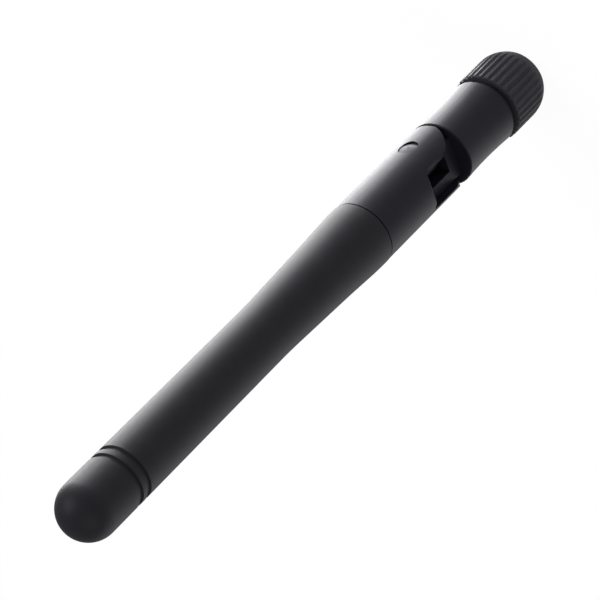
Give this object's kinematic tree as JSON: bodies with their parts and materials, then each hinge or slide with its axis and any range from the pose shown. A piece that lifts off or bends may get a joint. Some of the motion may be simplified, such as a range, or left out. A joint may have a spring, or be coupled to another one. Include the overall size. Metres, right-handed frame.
{
  "type": "wifi antenna",
  "caption": "Stub wifi antenna: knurled coupling grip with a coaxial plug, waisted swivel barrel, tilting hinge arm and a flared sheath with a round tip.",
  "frame": {"origin": "centre of the grip's open end face, on the surface that the antenna stands on", "axes": "+Z along the antenna from the connector to the domed tip, X along the hinge pins, the arm tilts towards -Y"},
  "size_m": [0.0108, 0.0108, 0.1096],
  "materials": {
    "grip_plastic": "matte moulded black",
    "hinge_plastic": "semi gloss moulded black",
    "sheath_plastic": "fine textured matte black",
    "plug_brass": "gold plated",
    "nut_brass": "gold plated, turned",
    "spring_bronze": "plain",
    "gasket_rubber": "silicone, matte",
    "insulator_white": "waxy white",
    "ferrule_brass": "crimped",
    "cable_jacket": "satin black",
    "cable_braid": "woven, silvered",
    "cable_dielectric": "waxy white",
    "cable_core": "silvered wire",
    "dipole_brass": "drawn tube",
    "spacer_plastic": "moulded, natural",
    "shrink_black": "shrunk tube"
  },
  "bodies": {
    "base": {"base_barrel": "hinge_plastic", "hinge_pin_right": "hinge_plastic", "hinge_pin_left": "hinge_plastic", "connector_body": "plug_brass", "connector_insulator": "insulator_white", "socket_contact": "plug_brass", "crimp_ferrule": "ferrule_brass", "nut_retaining_ring": "spring_bronze", "face_gasket": "gasket_rubber", "coax_jacket": "cable_jacket", "coax_braid": "cable_braid", "coax_dielectric": "cable_dielectric", "coax_core": "cable_core"},
    "nut": {"coupling_nut": "nut_brass", "knurled_grip": "grip_plastic"},
    "arm": {"hinge_arm": "hinge_plastic", "radome_sheath": "sheath_plastic", "choke_sleeve": "dipole_brass", "sleeve_collar": "dipole_brass", "lower_spacer": "spacer_plastic", "feed_heat_shrink": "shrink_black", "tip_spacer": "spacer_plastic"}
  },
  "joints": [
    {"name": "nut_spin", "type": "hinge", "parent": "base", "child": "nut", "pos_m": [0, 0, 0.004], "axis": [0, 0, 1], "continuous": true},
    {"name": "arm_tilt", "type": "hinge", "parent": "base", "child": "arm", "pos_m": [0, 0, 0.027], "axis": [1, 0, 0], "range_deg": [0, 90], "deforming": ["coax_jacket", "coax_braid", "coax_dielectric", "coax_core"]}
  ]
}
